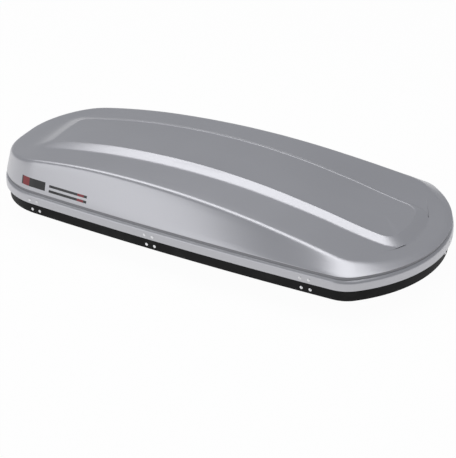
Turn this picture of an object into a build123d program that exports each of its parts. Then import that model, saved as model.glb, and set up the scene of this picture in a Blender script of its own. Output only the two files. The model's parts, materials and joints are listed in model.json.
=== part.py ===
from build123d import *
import os
from math import atan2, degrees, sqrt

# Roof cargo box, millimetres.  +X points to the nose, -Y is the hinge side, +Z is up.
# The origin is below the middle of the box, on the plane that the base tray stands on.
# "Rim" is the lower edge of the lid.  Heights named "above the rim" are measured from it,
# and an inset is measured inwards from the lid's outer edge, square to it.

# ---- overall sizes ----
box_length = 1750
box_width = 840              # at the nose end of the long sides
tail_width = 622             # at the tail end of the long sides
base_depth = 115             # rim above the underside
skin = 3                     # wall of both shells
fit_gap = 0.3                # between pieces of one body
rim_z = base_depth

# ---- plan outline: bowed ends and sides joined by round corners ----
tail_bow_radius = 1370
nose_bow_radius = 517
side_bow_radius = 13800
tail_corner_radius = 260
nose_corner_radius = 118
side_tail_setback = 227      # tail end of the side's arc, from the tail
side_nose_setback = 266      # nose end of the side's arc, from the nose

# ---- lid ----
rim_band_height = 36.5
groove_inset = 9
groove_height = 15.5
wall_foot_inset = 5
wall_height = 190            # the wall is drawn this tall, and the crown cuts it off
wall_lean_tail_end = 51      # how far the side wall leans in over that height
wall_lean_nose_end = 205
tail_wall_lean = 30
nose_wall_lean = 110
lean_tail_corner = 200
lean_nose_corner = 90
# Crown stations, each as fractions of the half length, then heights above the rim
crown_stations = [
    (-1.06, 112, 100),
    (-0.75, 163, 172),
    (-0.50, 185, 209),
    (-0.25, 189, 222),
    (0.00, 180, 215),
    (0.50, 124, 146),
    (0.75, 80, 90),
    (1.03, 44, 46),
]
panel_half_width_tail = 124
panel_half_width_nose = 142
panel_slope_width = 34       # from the panel's top edge to its foot
ledge_fall = 0.09            # fall of the ledge, outwards, per unit of width
crown_overhang = 140         # the crown's sections run this far past the wall

# ---- base tray ----
tray_inset = 14              # outer face of the tray's upright wall
lip_height = 18              # tray wall above the rim, behind the lid's band
tray_wall_drop = 45          # upright part of the tray wall below the rim
floor_inset = 140
floor_tail_inset = 100
floor_nose_inset = 265
floor_tail_corner = 130
floor_nose_corner = 70
channel_height = 22
rear_channel_x = -530
rear_channel_width = 166
front_channel_x = 137
front_channel_width = 205
floor_rib_width = 14
floor_rib_height = 5
floor_rib_spacing = 60
floor_rib_count = 4

# ---- clamps to the roof bars ----
slot_length = 140
slot_width = 9
slot_spacing_y = 350
plate_length = 158
plate_margin_y = 38
plate_thickness = 1.5

# ---- rivets ----
rivet_radius = 2.4
rivet_hole_radius = 2.5
rivet_head_radius = 6
rivet_head_height = 2
rivet_tail_radius = 4
rivet_tail_height = 1.6
rivet_pitch = 34
lid_rivet_height = 15        # above the rim
tray_rivet_drop = 30         # below the rim
rivet_seat_gap = 0.05

# ---- hinges, on the near side ----
hinge_x = {"rear": -636, "middle": -118, "front": 511}
hinge_inset = 25             # axis from the outline, at the rear and front hinges
hinge_drop = 7               # axis below the rim
knuckle_radius = 4.5
hinge_pin_radius = 2
running_gap = 0.05
lid_knuckle_length = 20
hinge_width = 50
knuckle_gap = 0.5
leaf = 2                     # thickness of the plates against the walls
strap = 2.5                  # thickness of the straps between plate and knuckle
neck_height = 28             # underside of the lid leaf's neck, above the rim
lid_plate_bottom = 4
notch_margin = 3
notch_drop = 3               # bottom of the lip's notches, below the rim
tray_plate_drop = 42

# ---- gas struts, on the rear and front hinges ----
strut_reach = 122            # inwards from the hinge axis to both studs
strut_half_height = 70       # studs above and below the hinge axis
arm_width = 14
arm_thickness = 3
strut_offset = 20            # strut's centre plane from the hinge's middle
stud_radius = 3
stud_length = 15
eye_radius = 8.5
eye_width = 8
cylinder_radius = 9
cylinder_bore = 7.5
cylinder_length = 105
gland_length = 4
rod_radius = 4
rod_gap = 0.1
piston_radius = 7.2
piston_length = 8
lost_motion = 2.4            # half the slot in the rod's eye, past the stud

# ---- central locking, on the far side ----
lock_station_x = {"rear": -600, "middle": -118, "front": 480}
bar_inset = 24
bar_thickness = 2.5
bar_bottom = 20              # above the rim
bar_height = 18
bar_end_margin = 60
bar_gap = 0.4
guide_width = 50
guide_block_length = 30
guide_wall = 4
hook_offset = 52             # hook from its guide, towards the tail
hook_width = 16
hook_foot = 18
hook_foot_height = 7
hook_foot_bottom = -7        # above the rim
striker_gap = 4              # hook foot to striker, along the bar, when unlocked
striker_width = 10
striker_height = 6
striker_lift = 1             # striker above the foot
striker_plate_width = 50
lock_x = -20
lock_height = 18             # lock's axis above the rim
lock_barrel_radius = 9
sleeve_wall = 2.8
knob_radius = 13
knob_height = 6
lock_travel = 20
crank_radius = lock_travel / 2 * sqrt(2)
crank_pin_radius = 3
crank_slot_gap = 0.6
crank_thickness = 2.5
key_blade = 8
key_thickness = 2.2
key_bow_radius = 11
key_stem = 8

# ---- locators at the nose and the tail ----
nose_locator_y = 70
tail_locator_y = 0
tongue_width = 30
tongue_inset = 24
tongue_thickness = 4
tongue_bottom = 4
fork_gap = 2.5
fork_width = 10
fork_depth = 14

# ---- badge and stripes on the near wall ----
badge_start = -700
badge_length = 128
badge_bottom = 62
badge_height = 48
badge_red_length = 40
stripe_start = -560
stripe_length = 175
stripe_height = 12
stripe_pitch = 20
stripe_count = 2
stripe_bottom = 66
trim_thickness = 1.2

tail_x = -box_length / 2
nose_x = box_length / 2
hinge_z = rim_z - hinge_drop
lip_z = rim_z + lip_height
tray_wall_z = rim_z - tray_wall_drop


# ---- plan geometry ----

def side_centre(tail_end_inset=0, nose_end_inset=0):
    """Centre of the near side's arc, through the ends of that side, each moved inwards."""
    tail_end = Vector(tail_x + side_tail_setback, tail_end_inset - tail_width / 2)
    nose_end = Vector(nose_x - side_nose_setback, nose_end_inset - box_width / 2)
    chord = nose_end - tail_end
    rise = sqrt(side_bow_radius**2 - (chord.length / 2) ** 2)
    return (tail_end + nose_end) / 2 + chord.normalized().rotate(Axis.Z, 90) * rise


def corner_centre(end_centre, end_reach, middle, middle_reach, towards):
    """Point at both reaches from the two centres, the one further towards that end."""
    gap = middle - end_centre
    along = (end_reach**2 - middle_reach**2 + gap.length**2) / (2 * gap.length)
    aside = sqrt(end_reach**2 - along**2)
    unit = gap.normalized()
    across = unit.rotate(Axis.Z, 90) * aside
    return max(
        (end_centre + unit * along + across, end_centre + unit * along - across),
        key=lambda point: towards * point.X,
    )


def heading(start, end):
    """Angle from one point to another, in degrees from 0 to 360."""
    return degrees(atan2(end.Y - start.Y, end.X - start.X)) % 360


def half_outline(side, tail, nose, tail_corner, nose_corner, lean=(0, 0)):
    """Arcs of the near half, tail to nose: centre, radius, first and last angle."""
    side_radius = side_bow_radius - side
    tail_radius = tail_bow_radius - side
    nose_radius = nose_bow_radius - side
    tail_middle = Vector(tail_x + tail + tail_radius, 0)
    nose_middle = Vector(nose_x - nose - nose_radius, 0)
    side_middle = side_centre(*lean)
    first = corner_centre(
        tail_middle, tail_radius - tail_corner, side_middle, side_radius - tail_corner, -1
    )
    last = corner_centre(
        nose_middle, nose_radius - nose_corner, side_middle, side_radius - nose_corner, 1
    )
    turns = [
        180,
        heading(tail_middle, first),
        heading(side_middle, first),
        heading(side_middle, last),
        heading(nose_middle, last),
        360,
    ]
    centres = [tail_middle, first, side_middle, last, nose_middle]
    radii = [tail_radius, tail_corner, side_radius, nose_corner, nose_radius]
    return list(zip(centres, radii, turns[:-1], turns[1:]))


def rim_shape(inset):
    """The rim's outline, moved inwards all round."""
    return half_outline(
        inset, inset, inset, tail_corner_radius - inset, nose_corner_radius - inset
    )


def draw_outline(arcs, mode=Mode.ADD):
    """Face inside an outline, in the current sketch."""
    with BuildLine() as edge:
        for centre, radius, start, end in arcs:
            CenterArc(centre, radius, start, end - start)
        mirror(about=Plane.XZ)
    make_face(edge.edges(), mode=mode)


def draw_band(outer_inset, inner_inset):
    """Ring between two insets of the rim, in the current sketch."""
    draw_outline(rim_shape(outer_inset))
    draw_outline(rim_shape(inner_inset), mode=Mode.SUBTRACT)


def side_point(x, inset, far=False):
    """Point of the long side at a given x."""
    centre = side_centre()
    y = centre.Y - sqrt((side_bow_radius - inset) ** 2 - (x - centre.X) ** 2)
    return Vector(x, -y if far else y)


# ---- placing things along the rim ----

class Line:
    """A straight line beside a long side, with the directions along it and inwards."""

    def __init__(self, stations, inset, z, far=False):
        low = side_point(min(stations), inset, far)
        high = side_point(max(stations), inset, far)
        self.start = low
        self.z = z
        self.along = (high - low).normalized()
        self.inwards = self.along.rotate(Axis.Z, -90 if far else 90)
        self.angle = degrees(atan2(self.along.Y, self.along.X))

    def point(self, x):
        """Point of the line at a given x."""
        flat = self.start + self.along * ((x - self.start.X) / self.along.X)
        return Vector(flat.X, flat.Y, self.z)

    def section(self, x, offset=0):
        """Plane across the line: first axis inwards, second axis up."""
        up = Vector(0, 0, 1)
        origin = self.point(x) + self.along * offset
        return Plane(origin, x_dir=self.inwards, z_dir=self.inwards.cross(up))

    def elevation(self, x, inset=0):
        """Plane along the line: first axis along it towards the nose, second axis up."""
        up = Vector(0, 0, 1)
        origin = self.point(x) + self.inwards * inset
        return Plane(origin, x_dir=self.along, z_dir=self.along.cross(up))


hinge_line = Line(hinge_x.values(), hinge_inset, hinge_z)
bar_line = Line(lock_station_x.values(), bar_inset, rim_z, far=True)


class EndSpot:
    """A spot on the nose or tail bow, with the same directions as a line."""

    def __init__(self, y, towards):
        radius = nose_bow_radius if towards > 0 else tail_bow_radius
        centre = Vector(towards * (box_length / 2 - radius), 0)
        turn = sqrt(radius**2 - y**2)
        outwards = Vector(towards * turn / radius, y / radius)
        self.inwards = outwards * -1
        self.along = self.inwards.rotate(Axis.Z, -90)
        self.angle = degrees(atan2(self.along.Y, self.along.X))
        self.rim = centre + outwards * radius

    def point(self, inset):
        """Point inwards of the rim."""
        return self.rim + self.inwards * inset


def window(spot, angle, width, depth, shift, inwards):
    """Keep only what lies in a turned rectangle: depth across, its centre shifted inwards."""
    place = spot + inwards * shift
    with Locations((place.X, place.Y)):
        Rectangle(width, depth, rotation=angle, mode=Mode.INTERSECT)


def wall_plate(spot, angle, inwards, width, outer_inset, bottom, top):
    """Plate that follows the inside of a wall, from bottom to top."""
    with BuildSketch(Plane.XY.offset(bottom)) as plan:
        draw_band(outer_inset, outer_inset + leaf)
        window(spot, angle, width, 4 * hinge_inset, 0, inwards)
    extrude(plan.sketch, amount=top - bottom)


def wall_strap(spot, angle, inwards, width, outer_inset, reach, bottom, thickness):
    """Flat strap from the wall to a reach inwards of the spot."""
    span = 4 * hinge_inset
    with BuildSketch(Plane.XY.offset(bottom)) as plan:
        draw_outline(rim_shape(outer_inset))
        window(spot, angle, width, span, reach - span / 2, inwards)
    extrude(plan.sketch, amount=thickness)


def rim_normal_at(spot):
    """Inward direction of the rim nearest to a spot, from the arc that faces it."""
    near = Vector(spot.X, -abs(spot.Y))
    for centre, radius, start, end in rim_shape(0):
        if start <= heading(centre, near) <= end and (near - centre).length > radius / 2:
            inwards = (centre - near).normalized()
            outer = centre - inwards * radius
            break
    side = 1 if spot.Y <= 0 else -1
    return Vector(outer.X, outer.Y * side), Vector(inwards.X, inwards.Y * side)


def rivet_spots(spot, along, count=2, pitch=rivet_pitch):
    """Rim points and inward directions of a row of rivets centred on a spot."""
    middle = (count - 1) / 2
    return [rim_normal_at(spot + along * (pitch * (i - middle))) for i in range(count)]


def rivet_plane(rim_point, inwards, inset, z):
    """Plane whose first axis runs inwards along a rivet."""
    origin = rim_point + inwards * inset
    place = Vector(origin.X, origin.Y, z)
    return Plane(place, x_dir=inwards, z_dir=inwards.cross(Vector(0, 0, 1)))


def add_rivet(plane, grip):
    """One rivet: domed head outside, shank through the grip, flat tail inside."""
    seat = -rivet_seat_gap
    far = grip + rivet_seat_gap
    with BuildSketch(plane) as profile:
        with BuildLine():
            ThreePointArc(
                (seat - rivet_head_height, 0),
                (seat - 0.7 * rivet_head_height, 0.62 * rivet_head_radius),
                (seat, rivet_head_radius),
            )
            Polyline(
                (seat, rivet_head_radius),
                (seat, rivet_radius),
                (far, rivet_radius),
                (far, rivet_tail_radius),
                (far + rivet_tail_height, rivet_tail_radius),
                (far + rivet_tail_height, 0),
                (seat - rivet_head_height, 0),
            )
        make_face()
    revolve(profile.sketch, axis=Axis(plane.origin, plane.x_dir))


def drill_rivets(spots, inset, z, depth):
    """Rivet holes through the current part."""
    for rim_point, inwards in spots:
        plane = rivet_plane(rim_point, inwards, inset, z)
        with BuildSketch(Plane(plane.origin, x_dir=(0, 0, 1), z_dir=inwards)) as hole:
            Circle(rivet_hole_radius)
        extrude(hole.sketch, amount=depth, both=True, mode=Mode.SUBTRACT)


def save(piece, name):
    """Label a piece and write it."""
    piece.part.label = name
    export_step(piece.part, f"parts/{name}.step")


os.makedirs("parts", exist_ok=True)

lid_hinge_spots = {k: rivet_spots(hinge_line.point(x), hinge_line.along) for k, x in hinge_x.items()}
guide_spots = {k: rivet_spots(bar_line.point(x), bar_line.along) for k, x in lock_station_x.items()}
locators = {"nose": EndSpot(nose_locator_y, 1), "tail": EndSpot(tail_locator_y, -1)}
locator_spots = {k: rivet_spots(s.point(tongue_inset), s.along) for k, s in locators.items()}
striker_offset = hook_offset - hook_width / 2 - hook_foot - striker_gap - striker_width / 2
striker_x = {k: x - striker_offset * bar_line.along.X for k, x in lock_station_x.items()}
striker_spots = {k: rivet_spots(bar_line.point(x), bar_line.along) for k, x in striker_x.items()}

# ---- lid ----

foot_z = rim_z + rim_band_height + groove_height


def wall_inset(x, height):
    """Inset of the lid's side wall at a height above the rim."""
    share = (x - tail_x - side_tail_setback) / (box_length - side_tail_setback - side_nose_setback)
    lean = wall_lean_tail_end + share * (wall_lean_nose_end - wall_lean_tail_end)
    return wall_foot_inset + lean * (height - foot_z + rim_z) / wall_height


def crown_section(fraction, shoulder, panel, inward):
    """Cross-section under the crown at one station."""
    x = fraction * box_length / 2
    edge = -side_point(x, wall_inset(x, shoulder)).Y
    top_y = panel_half_width_tail + (panel_half_width_nose - panel_half_width_tail) * (fraction + 1) / 2
    foot_y = top_y + panel_slope_width
    foot_height = shoulder + ledge_fall * (edge - foot_y)
    outer_y = edge + crown_overhang
    outer_height = shoulder - ledge_fall * crown_overhang
    half = [
        (outer_y, -base_depth / 2),
        (outer_y, outer_height - inward),
        (foot_y, foot_height - inward),
        (top_y, max(panel, foot_height) - inward),
    ]
    station = Plane((x, 0, rim_z), x_dir=(0, 1, 0), z_dir=(1, 0, 0))
    with BuildSketch(station) as section:
        with BuildLine():
            Polyline(*half, *[(-y, z) for y, z in reversed(half)], close=True)
        make_face()
    return section.sketch


def wall_outline(share, inward):
    """Outline of the leaning wall at a share of its height, moved in by a thickness."""
    foot = wall_foot_inset + inward
    tail_corner = tail_corner_radius - wall_foot_inset
    nose_corner = nose_corner_radius - wall_foot_inset
    return half_outline(
        foot,
        foot + share * tail_wall_lean,
        foot + share * nose_wall_lean,
        tail_corner + share * (lean_tail_corner - tail_corner) - inward,
        nose_corner + share * (lean_nose_corner - nose_corner) - inward,
        lean=(share * wall_lean_tail_end, share * wall_lean_nose_end),
    )


def lid_walls(inward):
    """Solid inside the lid's side walls, moved in by a thickness, uncut at the top."""
    with BuildSketch(Plane.XY.offset(foot_z + inward)) as low:
        draw_outline(wall_outline(inward / wall_height, inward))
    with BuildSketch(Plane.XY.offset(foot_z + wall_height)) as high:
        draw_outline(wall_outline(1, inward))
    loft([low.sketch, high.sketch], ruled=True)


def lid_solid(inward):
    """Solid inside the whole of the lid's surface, moved in by a thickness."""
    lid_walls(inward)
    loft([crown_section(*station, inward) for station in crown_stations], mode=Mode.INTERSECT)
    with BuildSketch(Plane.XY.offset(rim_z)) as band:
        draw_outline(rim_shape(inward))
    extrude(band.sketch, amount=rim_band_height - inward)
    with BuildSketch(Plane.XY.offset(rim_z + rim_band_height - inward)) as groove:
        draw_outline(rim_shape(groove_inset + inward))
    extrude(groove.sketch, amount=groove_height + 2 * inward)


with BuildPart() as lid_cavity:
    lid_solid(skin)

with BuildPart() as lid_shell:
    lid_solid(0)
    add(lid_cavity.part, mode=Mode.SUBTRACT)
    for spots in [*lid_hinge_spots.values(), *guide_spots.values(), *locator_spots.values()]:
        drill_rivets(spots, 0, rim_z + lid_rivet_height, 2 * skin)
    with BuildSketch(bar_line.elevation(lock_x, -bar_inset)):
        with Locations((0, lock_height)):
            Circle(lock_barrel_radius + fit_gap)
    extrude(amount=2 * bar_inset / 3, both=True, mode=Mode.SUBTRACT)
save(lid_shell, "lid_shell")


# ---- base tray ----

def floor_shape(inward):
    """Outline of the tray's flat floor, moved in by a thickness."""
    return half_outline(
        floor_inset + inward,
        floor_tail_inset + inward,
        floor_nose_inset + inward,
        floor_tail_corner - inward,
        floor_nose_corner - inward,
    )


def tray_solid(inward, floor_z):
    """Solid inside the tray's surface, moved in by a thickness and up to its floor."""
    with BuildSketch(Plane.XY.offset(tray_wall_z)) as wall:
        draw_outline(rim_shape(tray_inset + inward))
    extrude(wall.sketch, amount=lip_z - tray_wall_z)
    with BuildSketch(Plane.XY.offset(floor_z)) as floor:
        draw_outline(floor_shape(inward))
    loft([floor.sketch, wall.sketch], ruled=True)


channels = {
    "rear": (rear_channel_x, rear_channel_width),
    "front": (front_channel_x, front_channel_width),
}
slot_y = slot_spacing_y / 2
plate_z = channel_height + skin + fit_gap
plate_width_y = slot_spacing_y + 2 * plate_margin_y
plate_rivet_spots = [
    (x_side * (plate_length / 2 - 2 * rivet_head_radius), y_side * (slot_y - plate_margin_y))
    for x_side in (-1, 1)
    for y_side in (-1, 1)
]


def draw_channels(extra):
    """Strips of the roof bar channels, right across the tray, in the current sketch."""
    for x, width in channels.values():
        with Locations((x, 0)):
            Rectangle(width + 2 * extra, box_width)


def draw_slots(x, mode=Mode.ADD):
    """The two slots of one channel, in the current sketch."""
    with Locations((x, -slot_y), (x, slot_y)):
        SlotOverall(slot_length, slot_width, mode=mode)


def draw_plate_rivets(x, mode=Mode.ADD):
    """Holes for one load plate's rivets, in the current sketch."""
    with Locations(*[(x + dx, dy) for dx, dy in plate_rivet_spots]):
        Circle(rivet_hole_radius, mode=mode)


with BuildPart() as tray_cavity:
    tray_solid(skin, skin)
    with BuildSketch() as ridges:
        draw_channels(skin)
    extrude(ridges.sketch, amount=channel_height + skin, mode=Mode.SUBTRACT)
    rib_length = front_channel_x - front_channel_width / 2 - rear_channel_x - rear_channel_width / 2
    rib_x = (front_channel_x - front_channel_width / 2 + rear_channel_x + rear_channel_width / 2) / 2
    with BuildSketch(Plane.XY.offset(skin)) as ribs:
        with Locations((rib_x, 0)):
            with GridLocations(0, floor_rib_spacing, 1, floor_rib_count):
                Rectangle(rib_length, floor_rib_width)
    extrude(ribs.sketch, amount=floor_rib_height, mode=Mode.SUBTRACT)

notch_bottom = rim_z - notch_drop
with BuildPart() as base_shell:
    tray_solid(0, 0)
    with BuildSketch() as troughs:
        draw_channels(0)
    extrude(troughs.sketch, amount=channel_height, mode=Mode.SUBTRACT)
    add(tray_cavity.part, mode=Mode.SUBTRACT)
    for x, _ in channels.values():
        with BuildSketch(Plane.XY.offset(channel_height)) as holes:
            draw_slots(x)
            draw_plate_rivets(x)
        extrude(holes.sketch, amount=2 * skin, mode=Mode.SUBTRACT)
    for x in hinge_x.values():
        with BuildSketch(Plane.XY.offset(notch_bottom)) as notch:
            draw_outline(rim_shape(tray_inset - fit_gap))
            window(
                hinge_line.point(x),
                hinge_line.angle,
                lid_knuckle_length + 2 * notch_margin,
                4 * hinge_inset,
                0,
                hinge_line.inwards,
            )
        extrude(notch.sketch, amount=lip_height + 2 * notch_drop, mode=Mode.SUBTRACT)
    lock_notch = 2 * (lock_barrel_radius + sleeve_wall + notch_margin)
    lock_notch_bottom = rim_z + lock_height - lock_notch / 2
    with BuildSketch(Plane.XY.offset(lock_notch_bottom)) as notch:
        draw_outline(rim_shape(tray_inset - fit_gap))
        window(
            bar_line.point(lock_x), bar_line.angle, lock_notch, 4 * bar_inset, 0, bar_line.inwards
        )
    extrude(notch.sketch, amount=lock_notch, mode=Mode.SUBTRACT)
    for spots in [*lid_hinge_spots.values(), *striker_spots.values(), *locator_spots.values()]:
        drill_rivets(spots, tray_inset, rim_z - tray_rivet_drop, 2 * skin)
save(base_shell, "base_shell")

for name, (x, _) in channels.items():
    with BuildPart() as load_plate:
        with BuildSketch(Plane.XY.offset(plate_z)) as plan:
            with Locations((x, 0)):
                RectangleRounded(plate_length, plate_width_y, 3 * plate_thickness)
            draw_slots(x, mode=Mode.SUBTRACT)
            draw_plate_rivets(x, mode=Mode.SUBTRACT)
        extrude(plan.sketch, amount=plate_thickness)
    save(load_plate, f"{name}_load_plate")

with BuildPart() as load_plate_rivets:
    for x, _ in channels.values():
        for dx, dy in plate_rivet_spots:
            below = Plane((x + dx, dy, channel_height), x_dir=(0, 0, 1), z_dir=(0, 1, 0))
            add_rivet(below, skin + fit_gap + plate_thickness)
save(load_plate_rivets, "load_plate_rivets")


# ---- hinges ----

leaf_top = rim_z + neck_height + strap
half_knuckle = lid_knuckle_length / 2
half_hinge = hinge_width / 2
ends = {"rear": 1, "front": -1}     # strut's side of its hinge: towards the middle


def knuckle(plane, start, length):
    """Knuckle barrel along the hinge axis, from a distance along it."""
    with BuildSketch(plane.offset(start)) as ring:
        Circle(knuckle_radius)
    extrude(ring.sketch, amount=length)


def bore_knuckles(plane):
    """Hole for the hinge pin, right through the current part's knuckles."""
    with BuildSketch(plane.offset(-half_hinge)) as hole:
        Circle(hinge_pin_radius + running_gap)
    extrude(hole.sketch, amount=hinge_width, mode=Mode.SUBTRACT)


def strut_arm(plane, side, root, tip_z):
    """Arm from a leaf to a strut's stud, with the stud, beside the hinge's middle."""
    tip = (strut_reach, tip_z)
    middle = ((root[0] + tip[0]) / 2, (root[1] + tip[1]) / 2)
    face = half_knuckle - arm_thickness if side > 0 else -half_knuckle
    stud_start = half_knuckle if side > 0 else -half_knuckle - stud_length
    with BuildSketch(plane.offset(face)) as arm:
        SlotCenterPoint(middle, tip, arm_width)
    extrude(arm.sketch, amount=arm_thickness)
    with BuildSketch(plane.offset(stud_start)) as stud:
        with Locations(tip):
            Circle(stud_radius)
    extrude(stud.sketch, amount=stud_length)


lid_arm_root = (arm_width / 2 - strap, neck_height + hinge_drop - arm_width / 2)
tray_arm_root = (1, -tray_plate_drop / 2 - arm_thickness)

for name, x in hinge_x.items():
    spot = hinge_line.point(x)
    at_hinge = (spot, hinge_line.angle, hinge_line.inwards)
    plane = hinge_line.section(x)

    with BuildPart() as lid_leaf:
        wall_plate(*at_hinge, hinge_width, skin + fit_gap, rim_z + lid_plate_bottom, leaf_top)
        wall_strap(*at_hinge, hinge_width, skin + fit_gap, strap / 2, rim_z + neck_height, strap)
        with BuildSketch(plane.offset(-half_knuckle)) as neck:
            with Locations((0, (leaf_top - hinge_z) / 2)):
                Rectangle(strap, leaf_top - hinge_z)
        extrude(neck.sketch, amount=lid_knuckle_length)
        knuckle(plane, -half_knuckle, lid_knuckle_length)
        if name in ends:
            strut_arm(plane, ends[name], lid_arm_root, strut_half_height)
        bore_knuckles(plane)
        drill_rivets(lid_hinge_spots[name], skin, rim_z + lid_rivet_height, 2 * leaf)
    save(lid_leaf, f"{name}_hinge_lid_leaf")

    with BuildPart() as tray_leaf:
        tray_face = tray_inset + skin + fit_gap
        knuckle_bottom = hinge_z - knuckle_radius
        wall_plate(*at_hinge, hinge_width, tray_face, rim_z - tray_plate_drop, knuckle_bottom + strap)
        wall_strap(*at_hinge, hinge_width, tray_face, 0, knuckle_bottom, strap)
        relief = knuckle_radius + 2 * knuckle_gap
        with BuildSketch(plane.offset(-half_knuckle - knuckle_gap)) as gap:
            Circle(relief)
        extrude(gap.sketch, amount=lid_knuckle_length + 2 * knuckle_gap, mode=Mode.SUBTRACT)
        barrel = half_hinge - half_knuckle - knuckle_gap
        knuckle(plane, -half_hinge, barrel)
        knuckle(plane, half_knuckle + knuckle_gap, barrel)
        if name in ends:
            strut_arm(plane, ends[name], tray_arm_root, -strut_half_height)
        bore_knuckles(plane)
        drill_rivets(lid_hinge_spots[name], tray_face, rim_z - tray_rivet_drop, 2 * leaf)
    save(tray_leaf, f"{name}_hinge_tray_leaf")

    with BuildPart() as hinge_pin:
        with BuildSketch(plane.offset(-half_hinge - fit_gap)) as rod:
            Circle(hinge_pin_radius)
        extrude(rod.sketch, amount=hinge_width + 2 * fit_gap)
        for start in (-half_hinge - fit_gap - strap / 2, half_hinge + fit_gap):
            with BuildSketch(plane.offset(start)) as head:
                Circle(knuckle_radius - running_gap)
            extrude(head.sketch, amount=strap / 2)
    save(hinge_pin, f"{name}_hinge_pin")


def rivet_group(name, groups, inset, z, grip):
    """All rivets of one kind in one node."""
    with BuildPart() as rivets:
        for rim_point, inwards in [spot for group in groups for spot in group]:
            add_rivet(rivet_plane(rim_point, inwards, inset, z), grip)
    save(rivets, name)


lid_grip = skin + fit_gap + leaf
lid_rivet_z = rim_z + lid_rivet_height
tray_rivet_z = rim_z - tray_rivet_drop
rivet_group("lid_hinge_rivets", lid_hinge_spots.values(), 0, lid_rivet_z, lid_grip)
rivet_group("tray_hinge_rivets", lid_hinge_spots.values(), tray_inset, tray_rivet_z, lid_grip)
rivet_group("guide_rivets", guide_spots.values(), 0, lid_rivet_z, lid_grip)
rivet_group("striker_rivets", striker_spots.values(), tray_inset, tray_rivet_z, lid_grip)
rivet_group("lid_locator_rivets", locator_spots.values(), 0, lid_rivet_z, lid_grip)
rivet_group("tray_locator_rivets", locator_spots.values(), tray_inset, tray_rivet_z, lid_grip)


# ---- gas struts ----

foot_stud_z = hinge_z - strut_half_height
head_stud_z = hinge_z + strut_half_height
cylinder_start = foot_stud_z + eye_radius - 1
cylinder_end = cylinder_start + cylinder_length

for name, side in ends.items():
    plane = hinge_line.section(hinge_x[name], side * strut_offset)
    eye_plane = plane.offset(-eye_width / 2)
    foot = hinge_line.point(hinge_x[name]) + hinge_line.inwards * strut_reach
    foot += hinge_line.along * side * strut_offset
    centre = (foot.X, foot.Y)

    with BuildPart() as cylinder:
        with BuildSketch(Plane.XY.offset(cylinder_start)) as tube:
            with Locations(centre):
                Circle(cylinder_radius)
        extrude(tube.sketch, amount=cylinder_length)
        with BuildSketch(eye_plane) as eye:
            with Locations((strut_reach, -strut_half_height)):
                Circle(eye_radius)
        extrude(eye.sketch, amount=eye_width)
        with BuildSketch(Plane.XY.offset(cylinder_start + gland_length)) as bore:
            with Locations(centre):
                Circle(cylinder_bore)
        extrude(bore.sketch, amount=cylinder_length - 2 * gland_length, mode=Mode.SUBTRACT)
        with BuildSketch(Plane.XY.offset(cylinder_end - gland_length)) as gland:
            with Locations(centre):
                Circle(rod_radius + rod_gap)
        extrude(gland.sketch, amount=gland_length, mode=Mode.SUBTRACT)
        with BuildSketch(eye_plane) as hole:
            with Locations((strut_reach, -strut_half_height)):
                Circle(stud_radius + running_gap)
        extrude(hole.sketch, amount=eye_width, mode=Mode.SUBTRACT)
    save(cylinder, f"{name}_strut_cylinder")

    with BuildPart() as rod:
        piston_z = cylinder_start + gland_length + lost_motion
        with BuildSketch(Plane.XY.offset(piston_z)) as piston:
            with Locations(centre):
                Circle(piston_radius)
        extrude(piston.sketch, amount=piston_length)
        with BuildSketch(Plane.XY.offset(piston_z)) as shaft:
            with Locations(centre):
                Circle(rod_radius)
        extrude(shaft.sketch, amount=head_stud_z - eye_radius - piston_z)
        with BuildSketch(eye_plane) as eye:
            with Locations((strut_reach, strut_half_height)):
                SlotCenterToCenter(2 * lost_motion, 2 * eye_radius, rotation=90)
                SlotCenterToCenter(
                    2 * lost_motion,
                    2 * (stud_radius + fit_gap),
                    rotation=90,
                    mode=Mode.SUBTRACT,
                )
        extrude(eye.sketch, amount=eye_width)
    save(rod, f"{name}_strut_rod")


# ---- central locking ----

bar_middle = bar_bottom + bar_height / 2
first_x, last_x = min(lock_station_x.values()), max(lock_station_x.values())
bar_length = (bar_line.point(last_x) - bar_line.point(first_x)).length + 2 * bar_end_margin
bar_centre_x = (first_x + last_x) / 2
crank_rise = crank_radius / sqrt(2)

with BuildPart() as lock_bar:
    with BuildSketch(bar_line.elevation(bar_centre_x)) as strip:
        with Locations((0, bar_middle)):
            Rectangle(bar_length, bar_height)
    extrude(strip.sketch, amount=bar_thickness)
    with BuildSketch(bar_line.elevation(lock_x)) as slot:
        slot_low = lock_height + crank_rise - crank_pin_radius - 2 * crank_slot_gap
        slot_high = lock_height + crank_radius + crank_pin_radius + 2 * crank_slot_gap
        with Locations((-lock_travel / 2, (slot_low + slot_high) / 2)):
            Rectangle(2 * (crank_pin_radius + crank_slot_gap), slot_high - slot_low)
    extrude(slot.sketch, amount=bar_thickness, mode=Mode.SUBTRACT)
save(lock_bar, "lock_bar")

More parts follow.
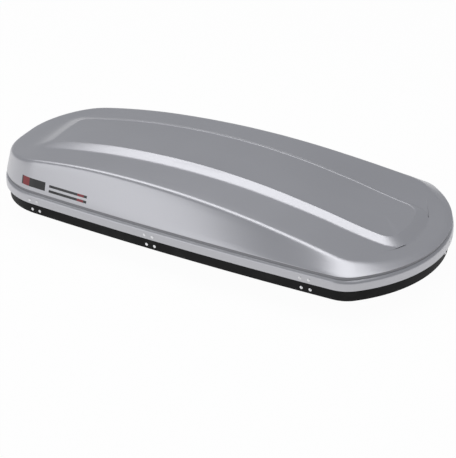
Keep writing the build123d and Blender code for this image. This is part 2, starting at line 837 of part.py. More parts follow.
for name, x in lock_station_x.items():
    spot = bar_line.point(x)
    at_guide = (spot, bar_line.angle, bar_line.inwards)
    block_reach = bar_thickness + bar_gap + guide_wall

    with BuildPart() as guide:
        wall_plate(*at_guide, guide_width, skin + fit_gap, rim_z + lid_plate_bottom, leaf_top)
        wall_strap(*at_guide, guide_width, skin + fit_gap, 0, rim_z + neck_height, strap)
        with BuildSketch(bar_line.elevation(x, -bar_gap - guide_wall)) as block:
            with Locations((0, bar_middle)):
                Rectangle(guide_block_length, bar_height + 2 * (bar_gap + guide_wall))
        extrude(block.sketch, amount=block_reach + bar_gap + guide_wall)
        with BuildSketch(bar_line.elevation(x, -bar_gap)) as passage:
            with Locations((0, bar_middle)):
                Rectangle(guide_width + 2, bar_height + 2 * bar_gap)
        extrude(passage.sketch, amount=bar_thickness + 2 * bar_gap, mode=Mode.SUBTRACT)
        drill_rivets(guide_spots[name], skin, rim_z + lid_rivet_height, 2 * leaf)
    save(guide, f"{name}_bar_guide")

    with BuildPart() as hook:
        with BuildSketch(bar_line.elevation(x, bar_thickness)) as leg:
            leg_height = bar_bottom + bar_height - hook_foot_bottom
            with Locations((-hook_offset, hook_foot_bottom + leg_height / 2)):
                Rectangle(hook_width, leg_height)
            foot_reach = hook_width / 2 + hook_foot
            with Locations((-hook_offset + foot_reach / 2, hook_foot_bottom + hook_foot_height / 2)):
                Rectangle(foot_reach, hook_foot_height)
        extrude(leg.sketch, amount=bar_thickness)
    save(hook, f"{name}_lock_hook")

    strike = bar_line.point(striker_x[name])
    at_striker = (strike, bar_line.angle, bar_line.inwards)
    striker_bottom = rim_z + hook_foot_bottom + hook_foot_height + striker_lift
    with BuildPart() as striker:
        wall_plate(
            *at_striker,
            striker_plate_width,
            tray_inset + skin + fit_gap,
            rim_z - tray_plate_drop,
            striker_bottom + striker_height,
        )
        wall_strap(
            *at_striker,
            striker_width,
            tray_inset + skin + fit_gap,
            3 * bar_thickness,
            striker_bottom,
            striker_height,
        )
        drill_rivets(
            striker_spots[name], tray_inset + skin + fit_gap, rim_z - tray_rivet_drop, 2 * leaf
        )
    save(striker, f"{name}_striker")

lock_rim = rim_normal_at(bar_line.point(lock_x))[0]
lock_span = (bar_line.point(lock_x) - lock_rim - Vector(0, 0, rim_z)).length
crank_inner = crank_thickness + crank_slot_gap
barrel_end = -crank_inner

with BuildPart() as lock_housing:
    wall_plate(
        bar_line.point(lock_x),
        bar_line.angle,
        bar_line.inwards,
        2 * (lock_barrel_radius + 3 * sleeve_wall),
        skin + fit_gap,
        rim_z + lid_plate_bottom,
        leaf_top,
    )
    with BuildSketch(bar_line.elevation(lock_x, skin + 2 * fit_gap - lock_span)) as sleeve:
        with Locations((0, lock_height)):
            Circle(lock_barrel_radius + fit_gap + sleeve_wall)
    extrude(sleeve.sketch, amount=lock_span - skin - 2 * fit_gap + barrel_end - fit_gap)
    with BuildSketch(bar_line.elevation(lock_x, -lock_span)) as bore:
        with Locations((0, lock_height)):
            Circle(lock_barrel_radius + running_gap)
    extrude(bore.sketch, amount=lock_span, mode=Mode.SUBTRACT)
save(lock_housing, "lock_housing")

with BuildPart() as lock_cylinder:
    outside = -lock_span - 2 * fit_gap
    with BuildSketch(bar_line.elevation(lock_x, outside - knob_height)) as knob:
        with Locations((0, lock_height)):
            Circle(knob_radius)
    extrude(knob.sketch, amount=knob_height)
    with BuildSketch(bar_line.elevation(lock_x, outside)) as barrel:
        with Locations((0, lock_height)):
            Circle(lock_barrel_radius)
    extrude(barrel.sketch, amount=barrel_end - outside)
    with BuildSketch(bar_line.elevation(lock_x, barrel_end)) as crank:
        with Locations((0, lock_height)):
            Circle(lock_barrel_radius)
        pin_spot = (-crank_rise, lock_height + crank_rise)
        with Locations((pin_spot[0] / 2, (lock_height + pin_spot[1]) / 2)):
            SlotCenterToCenter(crank_radius, 2.4 * crank_pin_radius, rotation=135)
    extrude(crank.sketch, amount=crank_thickness)
    with BuildSketch(bar_line.elevation(lock_x, barrel_end)) as crank_pin:
        with Locations(pin_spot):
            Circle(crank_pin_radius)
    extrude(crank_pin.sketch, amount=crank_inner + bar_thickness + crank_slot_gap)
    with BuildSketch(bar_line.elevation(lock_x, outside - knob_height)) as keyway:
        with Locations((0, lock_height)):
            Rectangle(key_thickness + 2 * fit_gap, key_blade + 2 * fit_gap)
    extrude(keyway.sketch, amount=2 * knob_height + 2 * fit_gap, mode=Mode.SUBTRACT)
save(lock_cylinder, "lock_cylinder")

with BuildPart() as key:
    key_face = outside - knob_height
    with BuildSketch(bar_line.elevation(lock_x, key_face - key_stem)) as blade:
        with Locations((0, lock_height)):
            Rectangle(key_thickness, key_blade)
    extrude(blade.sketch, amount=key_stem + 2 * knob_height)
    bow_plane = bar_line.section(lock_x).offset(-key_thickness / 2)
    with BuildSketch(bow_plane) as bow:
        with Locations((key_face - key_stem - key_bow_radius + 1, lock_height)):
            Circle(key_bow_radius)
            Circle(key_bow_radius / 3, mode=Mode.SUBTRACT)
    extrude(bow.sketch, amount=key_thickness)
save(key, "key")


# ---- locators ----

for name, spot in locators.items():
    at_end = (spot.point(tongue_inset), spot.angle, spot.inwards)
    tray_face = tray_inset + skin + fit_gap
    with BuildPart() as tongue:
        wall_plate(*at_end, guide_width, skin + fit_gap, rim_z + lid_plate_bottom, leaf_top)
        wall_strap(
            *at_end, guide_width, skin + fit_gap, tongue_thickness, rim_z + neck_height, strap
        )
        with BuildSketch(Plane.XY.offset(rim_z + tongue_bottom)) as plan:
            draw_outline(rim_shape(tongue_inset))
            window(*at_end[:2], tongue_width, 2 * tongue_thickness, 0, spot.inwards)
        extrude(plan.sketch, amount=neck_height - tongue_bottom)
        drill_rivets(locator_spots[name], skin, rim_z + lid_rivet_height, 2 * leaf)
    save(tongue, f"{name}_lid_tongue")

    with BuildPart() as fork:
        wall_plate(
            *at_end,
            striker_plate_width + 2 * fork_gap,
            tray_face,
            rim_z - tray_plate_drop,
            rim_z + lip_height - 1,
        )
        for side in (-1, 1):
            shift = side * (tongue_width / 2 + fork_gap + fork_width / 2)
            place = spot.point(tongue_inset) + spot.along * shift
            wall_strap(
                place,
                spot.angle,
                spot.inwards,
                fork_width,
                tray_face,
                fork_depth,
                rim_z - fork_depth,
                neck_height + fork_depth - fit_gap,
            )
        drill_rivets(locator_spots[name], tray_face, rim_z - tray_rivet_drop, 2 * leaf)
    save(fork, f"{name}_tray_fork")


# ---- badge and stripes ----

def wall_trim(start, length, bottom, height):
    """Thin plate that follows the near wall of the lid."""
    with BuildPart() as gap:
        lid_walls(-fit_gap)
    with BuildPart() as trim:
        lid_walls(-fit_gap - trim_thickness)
        add(gap.part, mode=Mode.SUBTRACT)
        with BuildSketch(Plane.XZ) as face:
            with Locations((start + length / 2, rim_z + bottom + height / 2)):
                Rectangle(length, height)
        extrude(face.sketch, amount=box_width, mode=Mode.INTERSECT)
    return trim.part


with BuildPart() as side_badge:
    add(wall_trim(badge_start, badge_length, badge_bottom, badge_height))
save(side_badge, "side_badge")

with BuildPart() as side_stripes:
    for row in range(stripe_count):
        add(wall_trim(stripe_start, stripe_length, stripe_bottom + row * stripe_pitch, stripe_height))
save(side_stripes, "side_stripes")
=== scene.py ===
import bmesh
import bpy
import json
import math
import numpy as np
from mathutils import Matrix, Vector


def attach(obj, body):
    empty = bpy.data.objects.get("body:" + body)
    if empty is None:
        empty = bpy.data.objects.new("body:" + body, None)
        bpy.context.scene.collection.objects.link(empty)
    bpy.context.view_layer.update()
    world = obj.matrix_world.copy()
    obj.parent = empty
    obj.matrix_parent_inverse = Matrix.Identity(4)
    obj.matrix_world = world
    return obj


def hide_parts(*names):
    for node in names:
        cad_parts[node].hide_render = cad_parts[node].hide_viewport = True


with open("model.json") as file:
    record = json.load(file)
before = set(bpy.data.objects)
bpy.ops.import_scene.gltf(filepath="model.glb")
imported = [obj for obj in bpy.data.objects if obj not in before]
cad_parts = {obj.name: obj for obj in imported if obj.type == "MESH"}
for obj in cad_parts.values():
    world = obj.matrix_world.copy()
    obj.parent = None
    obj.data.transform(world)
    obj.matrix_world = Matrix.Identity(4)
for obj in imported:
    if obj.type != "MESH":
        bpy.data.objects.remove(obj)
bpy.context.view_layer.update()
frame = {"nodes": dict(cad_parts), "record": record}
nodes = frame["nodes"]

# Roof cargo box in metres, in the frame of the CAD: +X nose, -Y hinge side, +Z up.
# Shapes of the lid are worked out in millimetres above the rim, the lid's lower edge.
MM = 0.001
RIM = 115                    # rim above the plane that the tray stands on

# ---- plan of the lid, millimetres ----
HALF_LENGTH = 875
SIDE_TAIL = (-648, -311)     # tail end of the long side, at the rim
SIDE_NOSE = (609, -420)
TAIL_BOW = 1370
NOSE_BOW = 517
SIDE_BOW = 13800
TAIL_CORNER = 260
NOSE_CORNER = 118
ARC_POINTS = (12, 26, 120, 26, 30)

# ---- heights above the rim, at fractions of the half length ----
CROWN_FRACTION = (-1.05, -0.75, -0.50, -0.25, 0.00, 0.25, 0.50, 0.75, 0.88, 1.00)
SHOULDER_HEIGHT = (112, 163, 185, 189, 180, 158, 124, 83, 65, 58)
PANEL_HEIGHT = (105, 175, 209, 220.5, 214.5, 190, 148, 97, 78, 66)
PANEL_RISE = (6, 13, 18, 19, 19, 18, 17, 17, 16, 14)

# ---- profile of the wall, millimetres above the rim ----
RIM_BAND_TOP = 32
BAND_HEIGHT = 36.5           # middle of the bevel over the rim band
FOOT_HEIGHT = 52             # foot of the leaning wall
GROOVE_DEPTH = 11
FOOT_INSET = 5
BOX_CLEARANCE = 0.3          # rim band's face lies this far inside the CAD lid's
GROOVE_BEVEL = 4             # from the band or the foot to the groove's wall

SKIN = 2.5                   # wall of the lid
BEAD = 2.4                   # dip just inside the panel's edge


# ---- shapes ----

def arc(centre, radius, start, end, count):
    """Points of a circle's arc between two angles, the last left for the next arc."""
    turn = np.linspace(start, end, count, endpoint=False)
    return np.stack([centre[0] + radius * np.cos(turn), centre[1] + radius * np.sin(turn)], 1)


def touching(end_centre, end_reach, middle, middle_reach, towards):
    """Centre of a corner: the point at both reaches, the one further towards that end."""
    gap = middle - end_centre
    length = np.hypot(*gap)
    along = (end_reach**2 - middle_reach**2 + length**2) / (2 * length)
    aside = math.sqrt(end_reach**2 - along**2)
    unit = gap / length
    across = np.array([-unit[1], unit[0]]) * aside
    found = (end_centre + unit * along + across, end_centre + unit * along - across)
    return max(found, key=lambda point: towards * point[0])


def heading(start, end):
    """Angle from one point to another, from 0 to a full turn."""
    return math.atan2(end[1] - start[1], end[0] - start[0]) % math.tau


def outline(tail, nose, bows, side_tail, side_nose, side_bow, corners):
    """Closed plan curve: bowed tail, corner, bowed side, corner and bowed nose, then mirrored."""
    tail_bow, nose_bow = bows
    tail_corner, nose_corner = corners
    start = np.array(side_tail, float)
    end = np.array(side_nose, float)
    chord = end - start
    length = np.hypot(*chord)
    rise = math.sqrt(side_bow**2 - (length / 2) ** 2)
    side = (start + end) / 2 + np.array([-chord[1], chord[0]]) / length * rise
    tail_middle = np.array([tail + tail_bow, 0.0])
    nose_middle = np.array([nose - nose_bow, 0.0])
    first = touching(tail_middle, tail_bow - tail_corner, side, side_bow - tail_corner, -1)
    last = touching(nose_middle, nose_bow - nose_corner, side, side_bow - nose_corner, 1)
    turns = (
        math.pi,
        heading(tail_middle, first),
        heading(side, first),
        heading(side, last),
        heading(nose_middle, last),
        math.tau,
    )
    centres = (tail_middle, first, side, last, nose_middle)
    radii = (tail_bow, tail_corner, side_bow, nose_corner, nose_bow)
    parts = zip(centres, radii, turns[:-1], turns[1:], ARC_POINTS)
    near = np.concatenate([*[arc(*part) for part in parts], [[nose, 0.0]]])
    far = near[-2:0:-1] * (1, -1)
    return np.concatenate([near, far])


def rim_outline(inset):
    """The rim's plan curve, moved inwards all round."""
    return outline(
        inset - HALF_LENGTH,
        HALF_LENGTH - inset,
        (TAIL_BOW - inset, NOSE_BOW - inset),
        (SIDE_TAIL[0], SIDE_TAIL[1] + inset),
        (SIDE_NOSE[0], SIDE_NOSE[1] + inset),
        SIDE_BOW - inset,
        (TAIL_CORNER - inset, NOSE_CORNER - inset),
    )


def smooth_curve(x, stations, values):
    """Cubic through the values: each span's ends have the slope of their two neighbours."""
    at = np.array(stations, float)
    value = np.array(values, float)
    slope = np.gradient(value, at)
    x = np.clip(x, at[0], at[-1])
    i = np.clip(np.searchsorted(at, x) - 1, 0, len(at) - 2)
    span = at[i + 1] - at[i]
    t = (x - at[i]) / span
    return (
        (1 + 2 * t) * (1 - t) ** 2 * value[i]
        + t * (1 - t) ** 2 * span * slope[i]
        + t**2 * (3 - 2 * t) * value[i + 1]
        + t**2 * (t - 1) * span * slope[i + 1]
    )


def height(x, values):
    """Height above the rim at a place along the box."""
    return smooth_curve(x / HALF_LENGTH, CROWN_FRACTION, values)


def step(x, low, high):
    """Smooth rise from 0 to 1 between two values."""
    t = np.clip((x - low) / (high - low), 0, 1)
    return t * t * (3 - 2 * t)


def ring(plan, z):
    """A plan curve at a height above the rim, one height or one for each point."""
    return np.column_stack([plan, np.broadcast_to(z, len(plan))])


LONGEST_CUT = 0.46           # share of a run that one corner may take


def rounded_profile(rings, cuts, bends=6, runs=5):
    """Profile carried round the box: straight runs between rings, each inner ring's corner
    replaced by a parabola that starts and ends its cut away from the corner."""
    rows = [rings[0]]
    last = rings[0]
    t = np.linspace(0, 1, bends)[:, None, None]
    for before, corner, after, cut in zip(rings[:-2], rings[1:-1], rings[2:], cuts):
        back = before - corner
        on = after - corner
        back_length = np.linalg.norm(back, axis=1, keepdims=True) + MM
        on_length = np.linalg.norm(on, axis=1, keepdims=True) + MM
        size = np.broadcast_to(cut, len(corner))[:, None]
        start = corner + back / back_length * np.minimum(size, LONGEST_CUT * back_length)
        end = corner + on / on_length * np.minimum(size, LONGEST_CUT * on_length)
        for share in np.linspace(0, 1, runs + 1)[1:-1]:
            rows.append(last + (start - last) * share)
        rows.extend((1 - t) ** 2 * start + 2 * t * (1 - t) * corner + t**2 * end)
        last = end
    for share in np.linspace(0, 1, 2 * runs)[1:]:
        rows.append(last + (rings[-1] - last) * share)
    return np.stack(rows)


def make_mesh(name, points, faces, materials, body, slot):
    """A smooth piece from points in millimetres above the rim, riding on a body."""
    mesh = bpy.data.meshes.new(name)
    placed = (points.reshape(-1, 3) + (0, 0, RIM)) * MM
    mesh.from_pydata(placed.tolist(), [], faces.tolist())
    mesh.update()
    mesh.polygons.foreach_set("use_smooth", np.ones(len(mesh.polygons), bool))
    for material in materials:
        mesh.materials.append(material)
    piece = bpy.data.objects.new(name, mesh)
    bpy.context.scene.collection.objects.link(piece)
    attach(piece, body)
    return piece


def grid_faces(rows, columns, closed):
    """Quads of a grid, wrapped round its columns where it is closed."""
    row, column = np.meshgrid(np.arange(rows - 1), np.arange(columns - (not closed)), indexing="ij")
    after = (column + 1) % columns
    corners = (
        row * columns + column,
        row * columns + after,
        (row + 1) * columns + after,
        (row + 1) * columns + column,
    )
    return np.stack(corners, -1).reshape(-1, 4)


def merge_doubles(piece):
    """Close the seams and poles of a piece's mesh."""
    work = bmesh.new()
    work.from_mesh(piece.data)
    bmesh.ops.remove_doubles(work, verts=work.verts, dist=MM * MM)
    work.to_mesh(piece.data)
    work.free()


# ---- shader maths ----

class Socket:
    """A node's output, with arithmetic that adds Math nodes."""

    def __init__(self, tree, link):
        self.tree = tree
        self.link = link

    def math(self, operation, *others, clamp=False):
        return self.tree.node(
            "ShaderNodeMath", {"operation": operation, "use_clamp": clamp}, [self, *others]
        )

    def __add__(self, other):
        return self.math("ADD", other)

    def __radd__(self, other):
        return self.math("ADD", other)

    def __sub__(self, other):
        return self.math("SUBTRACT", other)

    def __rsub__(self, other):
        return self.tree.number(other).math("SUBTRACT", self)

    def __mul__(self, other):
        return self.math("MULTIPLY", other)

    def __rmul__(self, other):
        return self.math("MULTIPLY", other)

    def above(self, level, blur):
        """0 below a level, 1 above it, blurred by a width."""
        return ((self - level) * (1 / blur)).math("ADD", 0.5, clamp=True)


class Shader:
    """A material and the few calls that build its nodes."""

    def __init__(self, name):
        self.material = bpy.data.materials.new(name)
        self.material.use_nodes = True
        self.nodes = self.material.node_tree.nodes
        self.links = self.material.node_tree.links
        self.surface = self.nodes["Principled BSDF"]
        self.place = self.node("ShaderNodeTexCoord", {}, [], "Object")

    def node(self, kind, settings, inputs, output=0):
        """One node: its settings first, then its sockets by place or by name."""
        made = self.nodes.new(kind)
        for key, value in settings.items():
            setattr(made, key, value)
        pairs = inputs.items() if isinstance(inputs, dict) else enumerate(inputs)
        for key, value in pairs:
            if isinstance(value, Socket):
                self.links.new(value.link, made.inputs[key])
            else:
                made.inputs[key].default_value = value
        return Socket(self, made.outputs[output])

    def number(self, value):
        return self.node("ShaderNodeMath", {"operation": "ADD"}, [value, 0.0])

    def axis(self, name):
        return self.node("ShaderNodeSeparateXYZ", {}, [self.place], name)

    def stretched(self, scale):
        return self.node("ShaderNodeMapping", {}, {"Vector": self.place, "Scale": scale})

    def noise(self, scale, detail=3.0, place=None):
        inputs = {"Vector": place or self.place, "Scale": scale, "Detail": detail}
        return self.node("ShaderNodeTexNoise", {}, inputs, 0)

    def blend(self, share, first, second):
        """A colour between two, by a share."""
        made = self.nodes.new("ShaderNodeMix")
        made.data_type = "RGBA"
        for key, value in (("Factor_Float", share), ("A_Color", first), ("B_Color", second)):
            socket = next(s for s in made.inputs if s.identifier == key)
            if isinstance(value, Socket):
                self.links.new(value.link, socket)
            else:
                socket.default_value = value
        return Socket(self, next(s for s in made.outputs if s.identifier == "Result_Color"))

    def bump(self, value, distance, strength=1.0):
        inputs = {"Strength": strength, "Distance": distance, "Height": value}
        return self.node("ShaderNodeBump", {}, inputs)

    def finish(self, **sockets):
        """Set the surface's own sockets, written with _ for spaces."""
        for key, value in sockets.items():
            socket = self.surface.inputs[key.replace("_", " ")]
            if isinstance(value, Socket):
                self.links.new(value.link, socket)
            else:
                socket.default_value = value
        return self.material


def grey(level, tint=0.0):
    """A grey with a little blue in it."""
    return (level, level, level * (1 + tint), 1)


SILVER = 0.50
SILVER_TINT = 0.055


def silver_lid():
    """Silver lacquered sheet: fine metal flakes, faint cloudiness, light scuffs and a rougher groove
    darkened with painted shade.
    """
    s = Shader("silver_lacquer")
    cloud = s.noise(3.0, 2.0)
    flake = s.noise(1400.0, 1.0)
    orange_peel = s.noise(160.0, 2.0)
    streak = s.noise(26.0, 4.0, s.stretched((0.12, 1.0, 1.0))).above(0.70, 0.16)
    z = s.axis("Z")
    # The painted shade and the added roughness start and end a little inside the groove's two edges.
    low = (RIM + BAND_HEIGHT + 2.6) * MM
    high = (RIM + FOOT_HEIGHT - 1.2) * MM
    painted_groove_shade = z.above(low, MM) * (1 - z.above(high, MM))
    tone = s.blend(cloud, grey(SILVER * 0.955, SILVER_TINT), grey(SILVER * 1.045, SILVER_TINT))
    tone = s.blend(flake.above(0.56, 0.12) * 0.16, tone, grey(SILVER * 1.3, SILVER_TINT))
    tone = s.blend(streak * 0.08, tone, grey(SILVER * 0.8, SILVER_TINT))
    # Painted shade: the groove's colour is pulled most of the way to near-black.
    tone = s.blend(painted_groove_shade * 0.55, tone, grey(0.10, 0.08))
    return s.finish(
        Base_Color=tone,
        Metallic=0.70,
        Roughness=0.30 + cloud * 0.05 + streak * 0.06 + painted_groove_shade * 0.2,
        Coat_Weight=0.12,
        Coat_Roughness=0.12,
        Normal=s.bump(flake * 0.35 + orange_peel * 0.65, 0.00006, 0.5),
    )


def moulded_plastic(name, level, grain, depth, roughness, shine=0.5):
    """Dyed plastic sheet with a pebbled grain, a little dust in the hollows and rubbed patches."""
    s = Shader(name)
    pebble = s.node("ShaderNodeTexVoronoi", {}, {"Vector": s.place, "Scale": grain}, 0)
    fine = s.noise(grain * 1.7, 3.0)
    cloud = s.noise(5.0, 4.0)
    dust = s.noise(18.0, 5.0).above(0.60, 0.25)
    tone = s.blend(cloud, grey(level * 0.8, 0.05), grey(level * 1.25, 0.05))
    tone = s.blend(dust * 0.10, tone, grey(0.16, -0.05))
    return s.finish(
        Base_Color=tone,
        Roughness=roughness - cloud * 0.10 + dust * 0.12,
        Specular_IOR_Level=shine,
        Normal=s.bump(pebble * 0.7 + fine * 0.3, depth, 0.7),
    )


def metal(name, colour, roughness, brush, depth, coat=0.0):
    """Worked metal: fine lines along the box, darker stains, and small dents."""
    s = Shader(name)
    lines = s.noise(900.0, 2.0, s.stretched(brush))
    stain = s.noise(60.0, 4.0)
    dark = tuple(c * 0.72 for c in colour) + (1,)
    tone = s.blend(stain.above(0.52, 0.30), colour + (1,), dark)
    return s.finish(
        Base_Color=tone,
        Metallic=1.0,
        Roughness=roughness + lines * 0.12 + stain * 0.08,
        Coat_Weight=coat,
        Normal=s.bump(lines * 0.6 + stain * 0.4, depth, 0.5),
    )


def printed_film(name, red_from, red_to):
    """Printed vinyl film: near-black with one red field, slightly faded, under a clear coat."""
    s = Shader(name)
    x = s.axis("X")
    red = x.above(red_from * MM, MM) * (1 - x.above(red_to * MM, MM))
    fade = s.noise(40.0, 4.0)
    fine = s.noise(700.0, 2.0)
    tone = s.blend(fade, (0.006, 0.006, 0.007, 1), (0.014, 0.014, 0.015, 1))
    tone = s.blend(red, tone, s.blend(fade, (0.20, 0.010, 0.016, 1), (0.30, 0.018, 0.026, 1)))
    return s.finish(
        Base_Color=tone,
        Roughness=0.34 + fade * 0.1,
        Coat_Weight=0.3,
        Normal=s.bump(fine, 0.00003, 0.4),
    )


lacquer = silver_lid()
lining = moulded_plastic("lid_lining", 0.20, 420.0, 0.00008, 0.62)
black_tray = moulded_plastic("tray_grain", 0.007, 520.0, 0.00012, 0.62, 0.16)
black_fitting = moulded_plastic("fitting_nylon", 0.018, 900.0, 0.00005, 0.46)
strut_paint = moulded_plastic("strut_paint", 0.015, 1400.0, 0.00002, 0.32)
zinc = metal("zinc_plate", (0.62, 0.60, 0.54), 0.30, (0.05, 1.0, 1.0), 0.00003)
aluminium = metal("rivet_aluminium", (0.80, 0.80, 0.82), 0.22, (1.0, 1.0, 1.0), 0.00003)
chrome = metal("polished_rod", (0.78, 0.79, 0.80), 0.08, (1.0, 0.04, 1.0), 0.00001)
nickel = metal("lock_nickel", (0.66, 0.62, 0.55), 0.20, (1.0, 1.0, 0.1), 0.00002)


# ---- the lid ----

foot_plan = rim_outline(FOOT_INSET)
shoulder_plan = outline(
    -859, 848, (1300, 400), (-648, -273), (609, -353), 60000, (236, 112)
)
panel_foot_plan = outline(
    -742, 784, (1000, 450), (-600, -158), (620, -168), 30000, (48, 78)
)
panel_plan = outline(
    -676, 736, (900, 420), (-540, -118), (590, -135), 30000, (26, 56)
)
dish_plan = outline(
    -668, 730, (892, 414), (-540, -112), (590, -129), 30000, (22, 50)
)

shoulder_z = height(shoulder_plan[:, 0], SHOULDER_HEIGHT)
panel_foot_z = height(panel_foot_plan[:, 0], PANEL_HEIGHT) - height(panel_foot_plan[:, 0], PANEL_RISE)
panel_z = height(panel_plan[:, 0], PANEL_HEIGHT)

# The panel's edge is crisp along its sides and its nose, and fades out towards the tail.
from_tail = step(panel_plan[:, 0], -690, -560)
beside = step(np.abs(panel_plan[:, 1]), 60, 112)
edge_share = from_tail * np.maximum(beside, step(panel_plan[:, 0], 300, 500))
bead = BEAD * from_tail * beside
dish_z = height(dish_plan[:, 0], PANEL_HEIGHT) - bead
spine_x = np.clip(dish_plan[:, 0], -560, 640)
spine_plan = np.column_stack([spine_x, np.zeros(len(spine_x))])
spine_z = height(spine_x, PANEL_HEIGHT)

# From the rim up and inwards, ending on the spine, where the two halves meet.
lid_rings = [
    ring(rim_outline(1.2), 0.3),
    ring(rim_outline(BOX_CLEARANCE), 1.5),
    ring(rim_outline(BOX_CLEARANCE), RIM_BAND_TOP),
    ring(rim_outline(GROOVE_DEPTH), BAND_HEIGHT + GROOVE_BEVEL),
    ring(rim_outline(GROOVE_DEPTH), FOOT_HEIGHT - GROOVE_BEVEL),
    ring(foot_plan, FOOT_HEIGHT),
    ring(shoulder_plan, shoulder_z),
    ring(panel_foot_plan, panel_foot_z),
    ring(panel_plan, panel_z),
    ring(dish_plan, dish_z),
    ring(spine_plan, spine_z),
]
end_share = 1 - edge_share
# One cut for each ring but the first and the last: small is a sharp edge, large a soft one.
lid_cuts = (
    0.8,
    7.0,
    3.0,
    3.0,
    2.5,
    13.0,
    7.0 + 24.0 * end_share,
    4.0 + 26.0 * end_share,
    2.5 + 10.0 * end_share,
)
lid_surface = rounded_profile(lid_rings, lid_cuts)
lid = make_mesh(
    "lid_panel",
    lid_surface,
    grid_faces(*lid_surface.shape[:2], closed=True),
    (lacquer, lining),
    "lid",
    "lid_abs",
)
merge_doubles(lid)
wall = lid.modifiers.new("wall", "SOLIDIFY")
wall.thickness = SKIN * MM
wall.offset = -1
wall.material_offset = 1
wall.material_offset_rim = 0
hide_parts("lid_shell")


# ---- badge and stripes ----

def wall_depth(x, z):
    """Y of the near wall's outer face: on the straight line from its foot to its shoulder."""
    near = slice(0, len(foot_plan) // 2 + 1)
    foot = foot_plan[near]
    top = shoulder_plan[near]
    top_z = shoulder_z[near]
    found = np.empty(z.shape)
    for row in range(z.shape[0]):
        share = ((z[row, 0] - FOOT_HEIGHT) / (top_z - FOOT_HEIGHT))[:, None]
        line = foot + (top - foot) * share
        found[row] = np.interp(x[row], line[:, 0], line[:, 1])
    return found


def film(start, end, bottom, top, thickness=0.9, columns=49, rows=9):
    """Thin plate that follows the near wall: its middle stands off the wall, its edge dips in."""
    across = np.concatenate([[0, 0.004], np.linspace(0.012, 0.988, columns - 4), [0.996, 1]])
    upwards = np.concatenate([[0, 0.03], np.linspace(0.06, 0.94, rows - 4), [0.97, 1]])
    share_z, share_x = np.meshgrid(upwards, across, indexing="ij")
    x = start + (end - start) * share_x
    z = bottom + (top - bottom) * share_z
    edge = np.ones(x.shape)
    edge[[0, -1], :] = -1
    edge[:, [0, -1]] = -1
    return np.stack([x, wall_depth(x, z) - thickness * edge, z], -1)


def join_films(parts):
    """Points and faces of several films as one mesh."""
    faces = []
    count = 0
    for part in parts:
        faces.append(grid_faces(*part.shape[:2], closed=False) + count)
        count += part.shape[0] * part.shape[1]
    return np.concatenate([part.reshape(-1, 3) for part in parts]), np.concatenate(faces)


BADGE = (-700, -588, 66, 98)          # start, end, bottom, top
BADGE_RED = (-694, -662)
STRIPE_ENDS = (-570, -398)
STRIPE_RED = (-440, -412)
STRIPE_BOTTOM = 66
STRIPE_WIDTH = 9
STRIPE_PITCH = 18

stripe_bottoms = [STRIPE_BOTTOM + STRIPE_PITCH * row for row in range(2)]
badge = make_mesh(
    "badge_plate",
    *join_films([film(*BADGE)]),
    (printed_film("badge_film", *BADGE_RED),),
    "lid",
    "badge_print",
)
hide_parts("side_badge")
stripes = make_mesh(
    "stripe_films",
    *join_films([film(*STRIPE_ENDS, low, low + STRIPE_WIDTH) for low in stripe_bottoms]),
    (printed_film("stripe_film", *STRIPE_RED),),
    "lid",
    "badge_print",
)
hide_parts("side_stripes")


# ---- finishes of the pieces that keep their CAD shape ----

FINISHES = {
    "lid_abs": lacquer,
    "tray_abs": black_tray,
    "plated_steel": zinc,
    "rivet_aluminium": aluminium,
    "strut_black": strut_paint,
    "rod_chrome": chrome,
    "lock_black": black_fitting,
    "lock_metal": nickel,
}
for entry in frame["record"]["subparts"]:
    finish = FINISHES.get(entry["material_slot"])
    if finish:
        for slot in nodes[entry["node"]].material_slots:
            slot.material = finish


# ---- floor, light and camera ----

FLOOR_REACH = 60.0
FLOOR_GLOW = 0.97            # share of the floor that shows as plain white
SKY_COLOUR = (0.86, 0.88, 0.92, 1)
SKY_LIGHT = 0.42             # what lights the box
SKY_SEEN = 1.10              # what the eye sees
EYE = (2.5237, -5.18454, 3.05506)
AIM = (0.03397, -0.0316, 0.0326)
LENS = 136.5


def backdrop_material():
    """Pale floor that keeps shadows, and shows white to the eye and in reflections."""
    material = bpy.data.materials.new("pale_floor")
    material.use_nodes = True
    tree = material.node_tree
    tree.nodes.clear()
    out = tree.nodes.new("ShaderNodeOutputMaterial")
    mix = tree.nodes.new("ShaderNodeMixShader")
    matt = tree.nodes.new("ShaderNodeBsdfDiffuse")
    glow = tree.nodes.new("ShaderNodeEmission")
    path = tree.nodes.new("ShaderNodeLightPath")
    seen = tree.nodes.new("ShaderNodeMath")
    share = tree.nodes.new("ShaderNodeMath")
    matt.inputs["Color"].default_value = grey(0.88)
    glow.inputs["Color"].default_value = grey(1.0)
    seen.operation = "MAXIMUM"
    share.operation = "MULTIPLY"
    share.inputs[1].default_value = FLOOR_GLOW
    tree.links.new(path.outputs["Is Camera Ray"], seen.inputs[0])
    tree.links.new(path.outputs["Is Glossy Ray"], seen.inputs[1])
    tree.links.new(seen.outputs[0], share.inputs[0])
    tree.links.new(share.outputs[0], mix.inputs[0])
    tree.links.new(matt.outputs[0], mix.inputs[1])
    tree.links.new(glow.outputs[0], mix.inputs[2])
    tree.links.new(mix.outputs[0], out.inputs["Surface"])
    return material


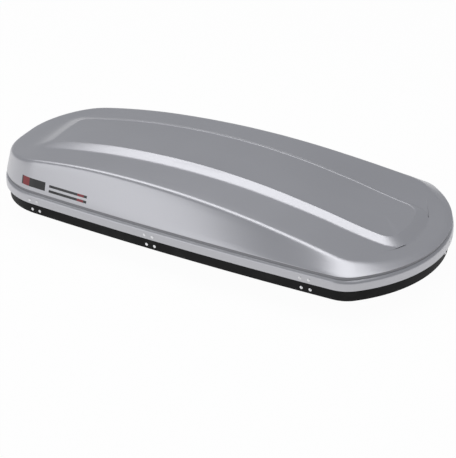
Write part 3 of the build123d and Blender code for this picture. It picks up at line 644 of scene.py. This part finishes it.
floor_mesh = bpy.data.meshes.new("floor")
floor_mesh.from_pydata(
    [
        (-FLOOR_REACH, -FLOOR_REACH, -MM),
        (FLOOR_REACH, -FLOOR_REACH, -MM),
        (FLOOR_REACH, FLOOR_REACH, -MM),
        (-FLOOR_REACH, FLOOR_REACH, -MM),
    ],
    [],
    [(0, 1, 2, 3)],
)
floor_mesh.materials.append(backdrop_material())
floor = bpy.data.objects.new("floor", floor_mesh)
bpy.context.scene.collection.objects.link(floor)

world = bpy.data.worlds.new("studio")
bpy.context.scene.world = world
world.use_nodes = True
sky_tree = world.node_tree
sky = sky_tree.nodes["Background"]
sky.inputs["Color"].default_value = SKY_COLOUR
sky_path = sky_tree.nodes.new("ShaderNodeLightPath")
sky_level = sky_tree.nodes.new("ShaderNodeMath")
sky_level.operation = "MULTIPLY_ADD"
sky_level.inputs[1].default_value = SKY_SEEN - SKY_LIGHT
sky_level.inputs[2].default_value = SKY_LIGHT
sky_tree.links.new(sky_path.outputs["Is Camera Ray"], sky_level.inputs[0])
sky_tree.links.new(sky_level.outputs[0], sky.inputs["Strength"])


def softbox(name, place, aim, width, depth, radiance):
    """A rectangular lamp of a given brightness, facing a point."""
    lamp = bpy.data.lights.new(name, "AREA")
    lamp.shape = "RECTANGLE"
    lamp.size = width
    lamp.size_y = depth
    lamp.energy = radiance * math.pi * width * depth
    box = bpy.data.objects.new(name, lamp)
    box.location = place
    box.rotation_mode = "QUATERNION"
    box.rotation_quaternion = (Vector(aim) - Vector(place)).to_track_quat("-Z", "Y")
    bpy.context.scene.collection.objects.link(box)


middle = (0.0, 0.0, 0.2)
softbox("overhead", (-0.6, 0.05, 3.4), (-0.6, 0.0, 0.2), 5.8, 2.2, 1.75)
softbox("left_front", (-2.6, -4.0, 1.2), middle, 3.6, 1.8, 1.15)

camera = bpy.data.cameras.new("camera")
camera.sensor_fit = "HORIZONTAL"
camera.sensor_width = 36.0
camera.lens = LENS
camera.clip_end = 200.0
eye = bpy.data.objects.new("camera", camera)
eye.location = EYE
eye.rotation_mode = "QUATERNION"
eye.rotation_quaternion = (Vector(AIM) - Vector(EYE)).to_track_quat("-Z", "Y")
bpy.context.scene.collection.objects.link(eye)
bpy.context.scene.camera = eye
bpy.context.scene.view_settings.view_transform = "Standard"
